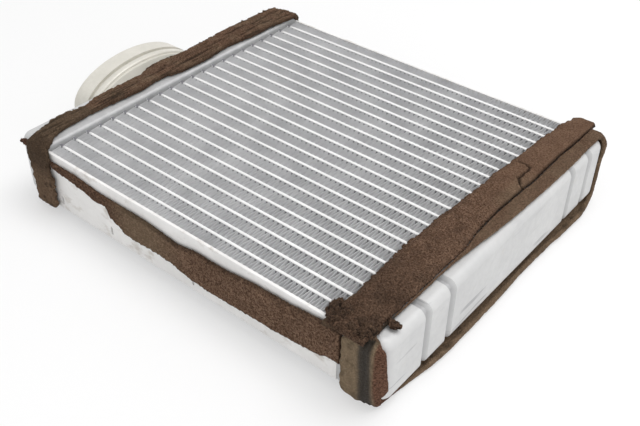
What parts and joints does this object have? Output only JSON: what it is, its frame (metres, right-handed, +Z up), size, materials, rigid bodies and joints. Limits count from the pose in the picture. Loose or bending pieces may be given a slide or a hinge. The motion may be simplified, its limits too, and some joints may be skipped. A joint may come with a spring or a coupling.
{
  "type": "heater core",
  "caption": "Flat cabin heater core: flat tubes and folded fins between two pressed end tanks, with an oval two-port connection and foam seals.",
  "frame": {"origin": "under the middle of the whole object, in the plane it rests on", "axes": "+X along the tubes towards the closed front tank (the ports face -X), +Y across the tubes towards the far side plate, +Z up through the core's depth"},
  "size_m": [0.211, 0.1632, 0.0352],
  "materials": {
    "tube_metal": "satin",
    "fin_metal": "satin",
    "plate_metal": "satin",
    "tank_metal": "satin",
    "foam_brown": "matte",
    "foam_olive": "matte"
  },
  "bodies": {
    "root": {"tube_01": "tube_metal", "tube_02": "tube_metal", "tube_03": "tube_metal", "tube_04": "tube_metal", "tube_05": "tube_metal", "tube_06": "tube_metal", "tube_07": "tube_metal", "tube_08": "tube_metal", "tube_09": "tube_metal", "tube_10": "tube_metal", "tube_11": "tube_metal", "tube_12": "tube_metal", "tube_13": "tube_metal", "tube_14": "tube_metal", "tube_15": "tube_metal", "tube_16": "tube_metal", "tube_17": "tube_metal", "tube_18": "tube_metal", "tube_19": "tube_metal", "tube_20": "tube_metal", "tube_21": "tube_metal", "tube_22": "tube_metal", "fin_01": "fin_metal", "fin_02": "fin_metal", "fin_03": "fin_metal", "fin_04": "fin_metal", "fin_05": "fin_metal", "fin_06": "fin_metal", "fin_07": "fin_metal", "fin_08": "fin_metal", "fin_09": "fin_metal", "fin_10": "fin_metal", "fin_11": "fin_metal", "fin_12": "fin_metal", "fin_13": "fin_metal", "fin_14": "fin_metal", "fin_15": "fin_metal", "fin_16": "fin_metal", "fin_17": "fin_metal", "fin_18": "fin_metal", "fin_19": "fin_metal", "fin_20": "fin_metal", "fin_21": "fin_metal", "fin_22": "fin_metal", "fin_23": "fin_metal", "side_plate_near": "plate_metal", "side_plate_far": "plate_metal", "header_rear": "tank_metal", "header_front": "tank_metal", "tank_front": "tank_metal", "tank_rear": "tank_metal", "port_neck": "tank_metal", "port_cap": "tank_metal", "flow_divider": "tank_metal", "foam_front_strip": "foam_brown", "foam_front_band": "foam_olive", "foam_rear_band": "foam_brown", "foam_near_strip": "foam_brown", "foam_far_strip": "foam_brown"}
  },
  "joints": []
}
